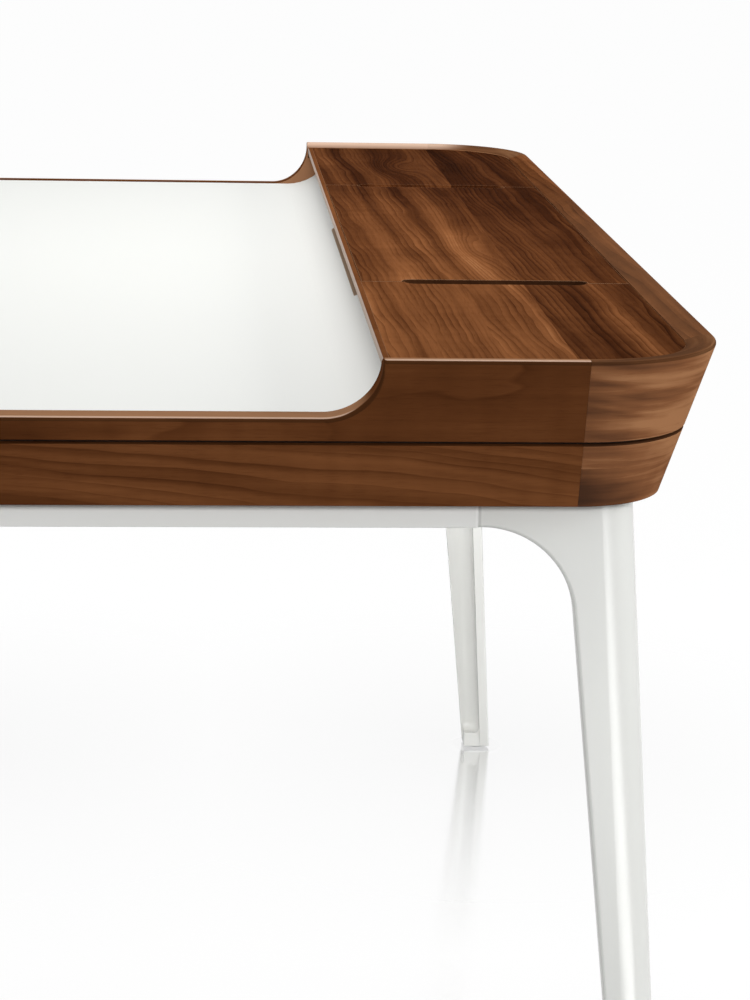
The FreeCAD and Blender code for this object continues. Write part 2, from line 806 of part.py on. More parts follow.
def make_leg():
    """Cast corner leg: two leaning walls that meet in a round corner, an open channel inside,
    an arched arm along the end and along the back, a top pad and a solid foot."""
    body = new_body("leg_back_right")
    end_wall = draw(sketch_on(body, "XZ_Plane", "-(leg_y + leg_splay)"), leaning_wall("leg_x"))
    pad(body, end_wall, "leg_splay + arm_reach")
    back_wall = draw(sketch_on(body, "YZ_Plane", "arm_x"), leaning_wall("leg_y"))
    pad(body, back_wall, "leg_splay + arm_reach")
    for plane, top, arm in (("YZ_Plane", "leg_y", "arm_y"), ("XZ_Plane", "leg_x", "arm_x")):
        pocket(body, draw(sketch_on(body, plane), beyond_wall(top)), both=True)
        pocket(body, draw(sketch_on(body, plane), leg_outline(top, arm)), both=True)

    def under_arm(points):
        if not all(near(point.z, "rail_z") for point in points):
            return False
        along_x = abs(points[0].x - points[-1].x)
        along_y = abs(points[0].y - points[-1].y)
        end_corner = all(point.y > value("arm_y") + 1 for point in points)
        back_corner = all(point.x > value("arm_x") + 1 for point in points)
        crosses_end = along_x > 1 and along_y < 0.01 and end_corner and points[0].y < value("leg_y - leg_wall") - 1
        crosses_back = along_y > 1 and along_x < 0.01 and back_corner and points[0].x < value("leg_x - leg_wall") - 1
        short = max(along_x, along_y) < value("2 * leg_wall")
        return short and (crosses_end or crosses_back)
    rounded(body, "arch_radius", under_arm)

    def corner_line(inset):
        def chosen(points):
            tall = abs(points[0].z - points[-1].z) > value("case_z / 2")
            on_line = all(
                near(point.x, "leg_x - %s + leg_lean * (case_z - (%r))" % (inset, point.z))
                and near(point.y, "leg_y - %s + leg_lean * (case_z - (%r))" % (inset, point.z))
                for point in points)
            return tall and on_line
        return chosen
    rounded(body, "leg_turn", corner_line("0"))
    rounded(body, "channel_round", corner_line("leg_wall"))

    def arch_edge(face, other):
        """Picks the outline of one wall's outer face along the arm, the arch and the leg's inner edge."""
        def chosen(points):
            outer = all(near(getattr(point, face), "leg_%s + leg_lean * (case_z - (%r))" % (face, point.z))
                        for point in points)
            inside = all(getattr(point, other) < value(
                "leg_%s - leg_top_width + leg_taper * (case_z - (%r))" % (other, point.z)) + 1
                for point in points)
            top = all(near(point.z, "case_z") for point in points)
            foot = all(near(point.z, "glide_height") for point in points)
            arm_end = all(near(getattr(point, other), "arm_" + other) for point in points)
            return outer and inside and not (top or foot or arm_end)
        return chosen
    rounded(body, "edge_round", arch_edge("x", "y"))
    rounded(body, "edge_round", arch_edge("y", "x"))
    foot_x = "leg_x + leg_splay"
    foot_y = "leg_y + leg_splay"
    block = rectangle(foot_x + " - foot_width", foot_x + " - leg_wall", foot_y + " - foot_width",
                      foot_y + " - leg_wall")
    pad(body, draw(sketch_on(body, "XY_Plane", "glide_height"), block), "foot_block")

    def foot_seat(points):
        """Picks the edge where the foot's top meets the walls of the channel."""
        level = all(near(point.z, "glide_height + foot_block") for point in points)
        inside = all(point.x > value(foot_x + " - foot_width") + 1 or point.y > value(foot_y + " - foot_width") + 1
                     for point in points)
        return level and inside
    rounded(body, "foot_round", foot_seat)
    turn = "leg_turn - (leg_turn - leg_wall / 2) * sqrt(0.5)"
    gusset = draw(sketch_on(body, "XY_Plane", "case_z - flange_thickness"), [
        ("leg_x - leg_wall / 2", "leg_y - leg_turn"),
        ("leg_x - (%s)" % turn, "leg_y - (%s)" % turn),
        ("leg_x - leg_turn", "leg_y - leg_wall / 2"),
        ("leg_x - pad_reach", "leg_y - leg_wall / 2"),
        ("leg_x - pad_reach", "leg_y - flange_width"),
        ("leg_x - flange_width", "leg_y - pad_reach"),
        ("leg_x - leg_wall / 2", "leg_y - pad_reach"),
    ])
    pad(body, gusset, "flange_thickness")
    holes = circles(sketch_on(body, "XY_Plane", "case_z"), screw_places(), "screw_radius + screw_hole_gap")
    pocket(body, holes, "2 * flange_thickness")
    front = mirrored(body, "leg_front_right", (0, 1, 0))
    mirrored(body, "leg_back_left", (1, 0, 0))
    mirrored(front, "leg_front_left", (1, 0, 0))


def rail_section(top):
    """Angle section whose outer face carries on the face of the leg's arm."""
    return [
        (top, "case_z"),
        (top + " + leg_lean * rail_height", "rail_z"),
        (top + " + leg_lean * rail_height - leg_wall", "rail_z"),
        (top + " + leg_lean * flange_thickness - leg_wall", "case_z - flange_thickness"),
        (top + " - flange_width", "case_z - flange_thickness"),
        (top + " - flange_width", "case_z"),
    ]


def make_rails():
    end = new_body("end_rail_right")
    pad(end, draw(sketch_on(end, "XZ_Plane", "-arm_y"), rail_section("leg_x")), "2 * arm_y")
    mirrored(end, "end_rail_left", (1, 0, 0))
    back = new_body("long_rail_back")
    pad(back, draw(sketch_on(back, "YZ_Plane", "-arm_x"), rail_section("leg_y")), "2 * arm_x")
    mirrored(back, "long_rail_front", (0, 1, 0))


def make_glides():
    """Floor glide under each foot: a low disc with a bevelled lower rim."""
    for side, sign_x in (("right", ""), ("left", "-")):
        for row, sign_y in (("back", ""), ("front", "-")):
            body = new_body("glide_%s_%s" % (row, side))
            half = [
                ("0", "0"),
                ("glide_radius - glide_bevel", "0"),
                ("glide_radius", "glide_bevel"),
                ("glide_radius", "glide_height"),
                ("0", "glide_height"),
            ]
            spin(body, draw(sketch_on(body, "XZ_Plane"), half), 360)
            reach = "leg_splay - foot_width / 2"
            body.setExpression("Placement.Base.x", bind("%s(leg_x + %s)" % (sign_x, reach)))
            body.setExpression("Placement.Base.y", bind("%s(leg_y + %s) - middle_shift" % (sign_y, reach)))


def four_ways(shape):
    """A solid and its mirror images about both middle planes."""
    origin = FreeCAD.Vector(0, 0, 0)
    across = shape.mirror(origin, FreeCAD.Vector(1, 0, 0))
    return [shape, across] + [half.mirror(origin, FreeCAD.Vector(0, 1, 0)) for half in (shape, across)]


def add_group(label, solids):
    """One sub-part made of equal loose solids."""
    group = doc.addObject("Part::Feature", label)
    group.Label = label
    group.Shape = Part.makeCompound(solids)
    group.Placement.Base.y = -value("middle_shift")
    nodes.append(group)


def make_splice_bars():
    """Bars inside the arms and rails that tie each butt joint together."""
    low = value("rail_z + (rail_height - flange_thickness - splice_height) / 2")
    high = low + value("splice_height")
    half = value("splice_length / 2")
    thickness = value("splice_thickness")
    solids = []
    for top, joint, along_y in (("leg_x", "arm_y", True), ("leg_y", "arm_x", False)):
        low_face, high_face = [
            value("%s - leg_wall + leg_lean * (case_z - %r)" % (top, level)) for level in (low, high)]
        section = [
            (high_face, high),
            (low_face, low),
            (low_face - thickness, low),
            (high_face - thickness, high),
            (high_face, high),
        ]
        start = value(joint) - half
        if along_y:
            corners = [FreeCAD.Vector(u, start, v) for u, v in section]
            run = FreeCAD.Vector(0, 2 * half, 0)
        else:
            corners = [FreeCAD.Vector(start, u, v) for u, v in section]
            run = FreeCAD.Vector(2 * half, 0, 0)
        solids += four_ways(Part.Face(Part.makePolygon(corners)).extrude(run))
    add_group("splice_bars", solids)


def make_screws():
    """Pan-head screws through the leg pads into the bottom panel."""
    solids = []
    up = FreeCAD.Vector(0, 0, 1)
    for u, v in screw_places():
        seat = FreeCAD.Vector(value(u), value(v), value("case_z - flange_thickness"))
        head_low = seat - up * value("screw_head_height")
        head = Part.makeCylinder(value("screw_head_radius"), value("screw_head_height"), head_low, up)
        shank = Part.makeCylinder(value("screw_radius"), value("screw_length"), seat, up)
        solids += four_ways(head.fuse(shank).removeSplitter())
    add_group("leg_screws", solids)


make_upper_end_panel()
make_upper_back_panel()
make_upper_front_rail()
make_upper_corners()
make_lower_band()
make_plate("dust_panel", "out_reveal - reveal_depth", "reveal_z", "reveal_height")
make_plate("bottom_panel", "in_lower - seat_gap", "case_z", "bottom_thickness")
make_writing_surface()
make_shelf_front()
make_shelf_side()
make_lid()
make_partition()
make_drawers()
make_runners()
make_leg()
make_rails()
make_glides()
make_splice_bars()
make_screws()

doc.recompute()
for item in doc.Objects:
    if "Invalid" in item.State or "Error" in item.State:
        raise RuntimeError("%s did not compute: %s" % (item.Label, item.State))
for node in nodes:
    if node.Shape.isNull() or not node.Shape.isValid():
        raise RuntimeError("%s has no valid shape" % node.Label)

os.makedirs("parts", exist_ok=True)
for node in nodes:
    node.Shape.exportStep("parts/%s.step" % node.Label)
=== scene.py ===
# Looks of the writing desk: matt walnut, white laminate and white cast legs, on a white studio floor.
# Metres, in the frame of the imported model: X to the right of the person at the desk, Y to the back, Z up.
import json
import math

import bpy
from mathutils import Matrix, Vector


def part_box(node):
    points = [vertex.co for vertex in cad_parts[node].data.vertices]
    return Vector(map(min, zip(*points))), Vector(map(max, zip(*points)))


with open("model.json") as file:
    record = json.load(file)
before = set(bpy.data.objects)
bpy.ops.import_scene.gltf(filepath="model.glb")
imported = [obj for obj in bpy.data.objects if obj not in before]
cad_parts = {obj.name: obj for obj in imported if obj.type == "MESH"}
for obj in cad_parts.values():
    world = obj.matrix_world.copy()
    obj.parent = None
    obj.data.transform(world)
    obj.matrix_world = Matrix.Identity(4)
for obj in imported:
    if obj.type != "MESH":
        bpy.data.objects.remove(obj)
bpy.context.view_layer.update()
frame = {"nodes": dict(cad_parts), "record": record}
nodes = frame["nodes"]

# Camera, fitted to the outlines of the desk in the photograph. The image is 750 by 1000 pixels.
IMAGE_HEIGHT = 1000
FOCAL_PIXELS = 2570.35
CAMERA_PLACE = Vector((2.5708, -0.02676, 1.17))
CAMERA_YAW = 0.07165
CAMERA_PITCH = 0.25013
CAMERA_ROLL = 0.0214
SENSOR = 36

# Plan of the case: the centres of its round corners, and its own middle plane.
CORNER_X = 0.596
CORNER_Y = 0.27393
CASE_MIDDLE_Y = -0.00793
CORNER_RADIUS = 0.115
# The outer walls lean: at the top they are this far out at the ends, and lower down less by this slope.
OUTER_ARRIS = 0.711
CASE_TOP = 0.8
WALL_LEAN = 0.04 / 0.1215

WHITE = (1.0, 1.0, 1.0, 1.0)


class Shader:
    """Node tree of a material or of the world, with short calls for the nodes used here."""

    def __init__(self, owner):
        self.owner = owner
        owner.use_nodes = True
        self.tree = owner.node_tree
        self.tree.nodes.clear()

    def feed(self, socket, value):
        """Link another node's output to a socket, or set a plain value on it."""
        if isinstance(value, bpy.types.NodeSocket):
            self.tree.links.new(value, socket)
        else:
            socket.default_value = value

    def node(self, kind, inputs=None, **settings):
        made = self.tree.nodes.new("ShaderNode" + kind)
        for setting, value in settings.items():
            setattr(made, setting, value)
        for socket, value in (inputs or {}).items():
            self.feed(made.inputs[socket], value)
        return made

    def math(self, operation, *values, clamp=False):
        made = self.node("Math", operation=operation, use_clamp=clamp)
        for socket, value in zip(made.inputs, values):
            self.feed(socket, value)
        return made.outputs[0]

    def total(self, first, *others):
        for other in others:
            first = self.math("ADD", first, other)
        return first

    def times(self, first, *others):
        for other in others:
            first = self.math("MULTIPLY", first, other)
        return first

    def minus(self, value, other):
        return self.math("SUBTRACT", value, other)

    def over(self, value, divisor):
        return self.math("DIVIDE", value, divisor)

    def magnitude(self, value):
        return self.math("ABSOLUTE", value)

    def diagonal(self, first, second):
        """Length of the diagonal over two sides at right angles."""
        return self.math("SQRT", self.total(self.times(first, first), self.times(second, second)))

    def swing(self, value, amount):
        """A 0 to 1 value as a swing of plus or minus half the amount."""
        return self.times(self.minus(value, 0.5), amount)

    def step(self, value, low, high):
        """0 below low, 1 above high, smooth between; with low above high it falls instead."""
        made = self.node("MapRange", {"Value": value, "From Min": low, "From Max": high},
                         interpolation_type="SMOOTHSTEP")
        return made.outputs[0]

    def point(self, x, y, z):
        return self.node("CombineXYZ", {"X": x, "Y": y, "Z": z}).outputs[0]

    def split(self, vector):
        return self.node("SeparateXYZ", {"Vector": vector}).outputs

    def noise(self, vector, scale=1.0, detail=3.0, rough=0.5):
        made = self.node("TexNoise", {"Vector": vector, "Scale": scale, "Detail": detail, "Roughness": rough})
        return made.outputs[0]

    def stretched_noise(self, place, scales, detail=3.0, rough=0.5):
        """Noise with its own scale in each direction, in grains for each metre."""
        parts = [self.times(part, scale) for part, scale in zip(place, scales)]
        return self.noise(self.point(*parts), detail=detail, rough=rough)

    def ramp(self, value, stops, interpolation="LINEAR"):
        made = self.node("ValToRGB", {"Fac": value})
        made.color_ramp.interpolation = interpolation
        elements = made.color_ramp.elements
        while len(elements) < len(stops):
            elements.new(1.0)
        for element, (position, colour) in zip(elements, stops):
            element.position = position
            element.color = (*colour, 1.0)
        return made.outputs[0]

    def mix(self, factor, first, second):
        """The first colour at factor 0, the second at 1."""
        made = self.node("Mix", data_type="RGBA")
        for socket, value in zip((made.inputs[0], made.inputs[6], made.inputs[7]), (factor, first, second)):
            if isinstance(value, tuple):
                value = (*value, 1.0)
            self.feed(socket, value)
        return made.outputs[2]

    def blend(self, factor, first, second):
        """The first surface at factor 0, the second at 1."""
        return self.node("MixShader", {0: factor, 1: first, 2: second}).outputs[0]

    def place(self):
        """Position in the frame of the desk, as X, Y and Z."""
        return self.split(self.node("TexCoord").outputs["Object"])

    def facing(self):
        """The way the face looks, as X, Y and Z."""
        return self.split(self.node("NewGeometry").outputs["Normal"])

    def seen(self):
        """1 for the camera's rays, in reflections and through glass, 0 for the light that falls on things."""
        path = self.node("LightPath").outputs
        either = self.math("MAXIMUM", path["Is Camera Ray"], path["Is Glossy Ray"])
        return self.math("MAXIMUM", either, path["Is Transmission Ray"])

    def soft_normal(self, radius):
        """Normal with the sharp edges eased."""
        made = self.node("Bevel", {"Radius": radius}, samples=6)
        return made.outputs[0]

    def edge_mask(self, soft):
        """1 on a sharp edge, 0 on flat ground."""
        made = self.node("VectorMath", operation="DOT_PRODUCT")
        self.feed(made.inputs[0], soft)
        self.feed(made.inputs[1], self.node("NewGeometry").outputs["Normal"])
        return self.step(self.minus(1.0, made.outputs["Value"]), 0.01, 0.2)

    def bump(self, height, strength, distance, normal):
        made = self.node("Bump", {"Height": height, "Strength": strength, "Distance": distance,
                                  "Normal": normal})
        return made.outputs[0]

    def show(self, surface, output="OutputMaterial"):
        """Make this the surface of the material, or of the world, and return its owner."""
        self.feed(self.node(output).inputs["Surface"], surface)
        return self.owner

    def finish(self, colour, roughness, normal, constants=None):
        principled = self.node("BsdfPrincipled", {"Base Color": colour, "Roughness": roughness,
                                                  "Normal": normal})
        for socket, value in (constants or {}).items():
            principled.inputs[socket].default_value = value
        return self.show(principled.outputs[0])


def new_material(name):
    return Shader(bpy.data.materials.new(name))


# Walnut from dark 0 to light 1, and the colours painted on it: the grey brown of a painted sheen, the pale of
# the painted highlights on rims and arris, also used for painted light on the faces that look in and for
# sharp edges that are partly rubbed finish, the dark of the rolled edge and of the tops, the pale of the
# nosing's painted highlight, and the painted shade of the hollows.
WALNUT = [
    (0.0, (0.016, 0.0045, 0.0016)),
    (0.25, (0.050, 0.0145, 0.0045)),
    (0.5, (0.125, 0.042, 0.0135)),
    (0.75, (0.25, 0.092, 0.032)),
    (1.0, (0.44, 0.20, 0.085)),
]
SHEEN_GREY_WALNUT = (0.2, 0.118, 0.078)
HIGHLIGHT_AND_WEAR_COLOUR = (0.66, 0.37, 0.205)
ARRIS_HIGHLIGHT = (0.74, 0.52, 0.39)
ROLLED_COLOUR = (0.045, 0.017, 0.006)
TOP_COLOUR = (0.085, 0.038, 0.017)
NOSING_HIGHLIGHT = (0.6, 0.49, 0.42)
HOLLOW_SHADE = (0.034, 0.0135, 0.006)
# Nearly no shine: at the camera's low angle the white room would veil the wood.
WOOD_SHINE = 0.0001
# One year's ring: its lightness from the early wood to the dark late line.
YEAR_RING = [(0.0, 0.62), (0.5, 0.55), (0.86, 0.3), (0.95, 0.12), (1.0, 0.62)]

# How the boards' values are packed into colour ramps: metres across the boards that a ramp covers, metres
# over which the tree's middle can lie, and the step and reach of each board's own start along the grain.
BOARDS_REACH = 2.0
MIDDLE_REACH = 4.0
START_STEP = 0.37
START_REACH = 9.0
# What is left of a round figure at its half width.
EYE_FADE = 0.37
# How far along the grain the corners start to either side: right and left, back and front.
CORNER_STARTS = (0.7, 0.31)

# Noise in the wood, in grains for each metre along the grain, across it and into it.
WANDER = (2.4, 8.0, 8.0)
WAVER = (14.0, 42.0, 42.0)
STREAK = (5.0, 190.0, 190.0)
CLOUD = (7.0, 11.0, 11.0)
CURL = (60.0, 14.0, 14.0)
PORES = (75.0, 1500.0, 1500.0)
FRESH = (6.0, 30.0, 30.0)
# The rings' own noise, in grains for each metre away from the tree's middle.
PACE = 26.0
BAND = 55.0
# Shares of the warp and of the figure, and the strength of what follows neither.
WAVER_SHARE = 0.12
STREAK_SHARE = 0.24
CLOUD_SHARE = 0.32
CURL_SWING = 0.08
PORE_SHADE = -0.05
PACE_TURNS = 2.4
FRESH_LINES = 1.8

# Ways a face can look: the parts of its normal between which a mask rises from 0 to 1.
UPWARD = (0.5, 0.9)
FRONTWARD = (-0.4, -0.8)
INWARD = (-0.5, -0.8)
RIGHTWARD = (0.15, 0.4)
# The rolled outer edge by how far its faces look up: where it starts at the wall, where it ends at the rim,
# where its painted highlight line lies, and how dark the rolled edge is.
ROLL_START = (-0.28, -0.05)
ROLL_END = (0.88, 0.7)
ARRIS_UP = (0.8, 0.92)
ROLLED_SHARE = 0.75
# Places of the rims: how far inside the outer edge the roll and the flat begin, where the left end's look
# passes into the right end's, and how high, how far back and how far out the left end's painted rim highlight
# lies.
ROLL_INSET = (0.007, 0.005)
FLAT_INSET = (0.003, 0.006)
LEFT_TO_RIGHT = (-0.5, 0.3)
FAR_RIM_HEIGHT = (0.77, 0.79)
FAR_RIM_REAR = (0.325, 0.28)
FAR_RIM_OUT = (0.676, 0.706)


def axes(along, across, depth):
    """Grain along, across and into the wood by the desk's own axes, for walnut and pale_wood."""
    def grain(shader):
        place = dict(zip("XYZ", shader.place()))
        return place[along], place[across], place[depth]
    return grain


def grain_round_corner(shader):
    """Grain that follows the round corners: along the arc, up the wall and through it."""
    x, y, z = shader.place()
    y = shader.minus(y, CASE_MIDDLE_Y)
    side = shader.minus(shader.magnitude(x), CORNER_X)
    rear = shader.minus(shader.magnitude(y), CORNER_Y)
    arc = shader.times(shader.math("ARCTAN2", rear, side), CORNER_RADIUS)
    sideways, backwards = CORNER_STARTS
    start = shader.total(shader.times(shader.math("SIGN", x), sideways),
                         shader.times(shader.math("SIGN", y), backwards))
    return shader.total(arc, start), z, shader.diagonal(side, rear)


def board_values(shader, boards, across):
    """Tone, tree's middle across and into the wood, drift and start of the board at each place across."""
    low = boards[0][0]
    position = shader.over(shader.minus(across, low), BOARDS_REACH)
    looks = []
    growth = []
    for number, (edge, tone, middle, under, drift) in enumerate(boards, 1):
        place = (edge - low) / BOARDS_REACH
        looks.append((place, (tone, middle / MIDDLE_REACH + 0.5, under / MIDDLE_REACH + 0.5)))
        growth.append((place, (drift + 0.5, START_STEP * number % 1.0, 0.0)))
    tone, middle, under = shader.split(shader.ramp(position, looks, "CONSTANT"))
    drift, start, unused = shader.split(shader.ramp(position, growth, "CONSTANT"))
    middle = shader.swing(middle, MIDDLE_REACH)
    under = shader.swing(under, MIDDLE_REACH)
    return tone, middle, under, shader.minus(drift, 0.5), shader.times(start, START_REACH)


def round_figures(shader, eyes, along, across):
    """How far the rings are pushed out round the eyes, and how much lighter the wood is there."""
    push = 0.0
    glow = 0.0
    for eye_along, eye_across, half_width, stretch, lightness in eyes:
        far = shader.over(shader.minus(along, eye_along), stretch * half_width)
        wide = shader.over(shader.minus(across, eye_across), half_width)
        reach = shader.total(shader.times(far, far), shader.times(wide, wide))
        hill = shader.math("POWER", EYE_FADE, reach)
        push = shader.total(push, shader.times(hill, half_width))
        glow = shader.total(glow, shader.times(hill, lightness))
    return push, glow


def shade_faces(shader, colour, depth, top=0.0, rim=(0.0, 0.0), outer=None, arris=0.0, front=0.0, inside=0.0,
                hollow=0.0):
    """Pale or darken the wood by the way a face looks and by its place, mostly as painted highlights, light
    and shade.

    top: how far the faces that look up are darkened.
    rim: painted highlight, how far the faces that look up on the rims are paled, at the right end of the desk
    and at the left end.
    outer: where the rim's outer edge lies at the top, measured into the wood; arris: how pale its painted
    highlight line is.
    front: painted highlight, how far the faces that look to the front show a pale strip.
    inside: painted light, how far the faces that look in from the ends are paled.
    hollow: painted shade, how far the sloping faces that look to the right are darkened.
    """
    x, y, z = shader.place()
    look_x, look_y, look_z = shader.facing()
    upward = shader.step(look_z, *UPWARD)
    out = shader.magnitude(x)
    drop = shader.times(shader.minus(CASE_TOP, z), WALL_LEAN)
    flat = shader.step(shader.total(out, drop), *(OUTER_ARRIS - inset for inset in FLAT_INSET))
    # Painted highlight on the rims' flat tops, at the right end and on the left end's far rim.
    near, far = rim
    near_rim_highlight = shader.times(upward, flat, shader.step(x, *LEFT_TO_RIGHT), near)
    far_rim_highlight = shader.times(upward, flat, shader.step(x, *reversed(LEFT_TO_RIGHT)),
                           shader.step(z, *FAR_RIM_HEIGHT), shader.step(y, *FAR_RIM_REAR),
                           shader.step(out, *FAR_RIM_OUT), far)
    colour = shader.mix(shader.times(upward, top), colour, TOP_COLOUR)
    colour = shader.mix(near_rim_highlight, colour, HIGHLIGHT_AND_WEAR_COLOUR)
    colour = shader.mix(far_rim_highlight, colour, ARRIS_HIGHLIGHT)
    if outer:
        reach = shader.total(shader.magnitude(depth), drop)
        outmost = shader.step(reach, *(outer - inset for inset in ROLL_INSET))
        rolled = shader.times(outmost, shader.step(look_z, *ROLL_START), shader.step(look_z, *ROLL_END))
        colour = shader.mix(shader.times(rolled, ROLLED_SHARE), colour, ROLLED_COLOUR)
        # Painted highlight line along the arris.
        line = shader.times(outmost, shader.step(look_z, *ARRIS_UP), arris)
        colour = shader.mix(line, colour, ARRIS_HIGHLIGHT)
    # Painted highlight on the faces that look to the front.
    colour = shader.mix(shader.times(shader.step(look_y, *FRONTWARD), front), colour, NOSING_HIGHLIGHT)
    # Painted light on the faces that look in from the ends.
    outward = shader.times(shader.math("SIGN", x), look_x)
    colour = shader.mix(shader.times(shader.step(outward, *INWARD), inside), colour, HIGHLIGHT_AND_WEAR_COLOUR)
    # Painted shade on the sloping faces that look to the right, in the hollows.
    return shader.mix(shader.times(shader.step(look_x, *RIGHTWARD), hollow), colour, HOLLOW_SHADE)


def walnut(name, grain_of, boards, ring=0.0075, lines=0.4, figure=1.0, warp=0.03, change=0.7, slope=0.0,
           turned=0.0, grey=0.0, edge_highlight_and_wear=0.12, eyes=(), **faces):
    """Matt walnut glued up from boards.

    grain_of: gives the position along the grain, across the boards and into the wood.
    boards: for each board the edge where it starts, its tone from dark 0 to light 1, the place of the tree's
    middle across and into the wood, and how fast the rings drift along the grain.
    ring, warp: width of a year's ring, and how far the rings wander.
    lines, figure: strength of the thin dark year lines and of the broad bands between them.
    change: how fast the broad bands change along the grain.
    slope: painted light, how much lighter the wood gets for each metre along the grain.
    turned: painted light, how much lighter the faces are that look to the back or the front.
    grey: painted sheen, how far the wood is mixed towards a grey brown.
    edge_highlight_and_wear: how pale the sharp edges are, a painted highlight together with rubbed finish.
    eyes: for each round figure its place along and across the grain, its half width, how much longer than
    wide it is, and its lightness.
    faces: the painted highlights, light and shade, and the other looks, that shade_faces describes.
    """
    shader = new_material(name)
    along, across, depth = grain_of(shader)
    tone, middle, under, drift, start = board_values(shader, boards, across)
    push, glow = round_figures(shader, eyes, along, across)
    # The slope along the grain is painted light; the glow round the eyes is the wood's figure.
    tone = shader.total(tone, shader.times(along, slope), glow)
    along = shader.total(along, start)
    grain = (along, across, depth)

    # growth rings round the tree's middle, warped, cut by the surface into long flames
    wander = shader.stretched_noise(grain, WANDER)
    waver = shader.stretched_noise(grain, WAVER, detail=2.0)
    radius = shader.diagonal(shader.minus(across, middle), shader.minus(depth, under))
    radius = shader.total(radius, shader.times(along, drift), shader.swing(wander, warp),
                          shader.swing(waver, warp * WAVER_SHARE), push)
    pace = shader.noise(shader.point(shader.times(radius, PACE), start, 0.0), detail=1.0)
    turns = shader.total(shader.over(radius, ring), shader.times(pace, PACE_TURNS))
    year = shader.ramp(shader.math("FRACT", turns), [(place, (light,) * 3) for place, light in YEAR_RING])
    band = shader.noise(shader.point(shader.times(radius, BAND), shader.times(along, change), start),
                        detail=2.0, rough=0.6)

    # fibres, clouds, curl and pores, and stretches where the year lines are fresh
    streak = shader.stretched_noise(grain, STREAK, rough=0.6)
    cloud = shader.stretched_noise(grain, CLOUD, detail=2.0)
    curl = shader.stretched_noise(grain, CURL, detail=1.0)
    pores = shader.step(shader.stretched_noise(grain, PORES, detail=1.0), 0.56, 0.72)
    fresh = shader.step(shader.stretched_noise(grain, FRESH, detail=2.0), 0.25, 0.75)
    shade = shader.total(
        tone,
        # painted light: faces that look to the back or the front made lighter
        shader.times(shader.magnitude(shader.facing()[1]), turned),
        shader.times(shader.swing(year, lines), fresh, FRESH_LINES),
        shader.swing(band, figure),
        shader.swing(streak, STREAK_SHARE * figure),
        shader.swing(cloud, CLOUD_SHARE * figure),
        shader.swing(curl, CURL_SWING),
        shader.times(pores, PORE_SHADE),
    )
    colour = shader.ramp(shader.math("MAXIMUM", shade, 0.0, clamp=True), WALNUT)
    # Painted sheen: the wood mixed towards a grey brown.
    colour = shader.mix(grey, colour, SHEEN_GREY_WALNUT)
    colour = shade_faces(shader, colour, depth, **faces)
    soft = shader.soft_normal(radius=0.0012)
    sharp_edge = shader.edge_mask(soft)
    # Sharp edges paled: partly a painted highlight, partly rubbed finish.
    colour = shader.mix(shader.times(sharp_edge, edge_highlight_and_wear), colour, HIGHLIGHT_AND_WEAR_COLOUR)
    roughness = shader.total(0.46, shader.swing(streak, 0.16), shader.times(pores, 0.16),
                             shader.times(sharp_edge, -0.08))
    height = shader.total(shader.times(pores, -1.0), shader.times(streak, 0.4), shader.times(year, 0.25))
    normal = shader.bump(height, strength=0.16, distance=0.0003, normal=soft)
    return shader.finish(colour, roughness, normal, {"Specular IOR Level": WOOD_SHINE})


MATERIALS = {}
# The upper ends: painted highlights on the rims and the arris, painted light on the faces that look in.
MATERIALS["walnut_upper_end"] = walnut(
    "walnut_upper_end", axes("Y", "Z", "X"), [(0.5, 0.49, 0.79, 0.60, -0.07)],
    ring=0.011, lines=0.18, figure=0.6, warp=0.05, rim=(0.38, 1.0), outer=OUTER_ARRIS, arris=0.7,
    inside=0.3, edge_highlight_and_wear=0.0)
MATERIALS["walnut_lower_end"] = walnut(
    "walnut_lower_end", axes("Y", "Z", "X"), [(0.5, 0.56, 0.62, 0.58, 0.1)],
    ring=0.009, lines=0.2, figure=0.6, warp=0.045, edge_highlight_and_wear=0.0)
CORNER_BOARDS = [
    (0.5, 0.52, 0.76, 0.02, 0.01),
    (0.709, 0.82, 0.70, 0.03, 0.015),
    (0.7315, 0.66, 0.69, 0.0, 0.05),
]
# The corners: painted sheen, painted light on the faces that look to the back or the front, and a painted
# highlight on the left end's rim.
MATERIALS["walnut_corner"] = walnut(
    "walnut_corner", grain_round_corner, CORNER_BOARDS,
    ring=0.0125, lines=0.12, figure=2.0, warp=0.03, change=4.0, turned=0.5, grey=0.2, top=0.6,
    rim=(0.0, 0.9), outer=CORNER_RADIUS, edge_highlight_and_wear=0.0)
# The back and the front: painted highlights on their rims.
MATERIALS["walnut_back"] = walnut(
    "walnut_back", axes("X", "Z", "Y"), [(0.5, 0.47, 0.70, 0.26, 0.02), (0.7315, 0.52, 0.72, 0.24, -0.03)],
    ring=0.009, lines=0.3, figure=0.9, warp=0.03, rim=(0.08, 0.12))
MATERIALS["walnut_front"] = walnut(
    "walnut_front", axes("X", "Z", "Y"), [(0.5, 0.48, 0.72, -0.24, 0.03)],
    ring=0.009, lines=0.3, figure=0.9, warp=0.03, rim=(0.5, 0.5))
SHELF_BOARDS = [
    (-0.2, 0.64, 0.02, 0.70, -0.045),
    (0.1545, 0.63, 0.04, 0.72, -0.03),
    (0.2015, 0.62, 0.09, 0.70, -0.05),
    (0.2535, 0.43, 0.42, 0.72, 0.03),
    (0.3415, 0.35, 0.46, 0.70, 0.02),
]
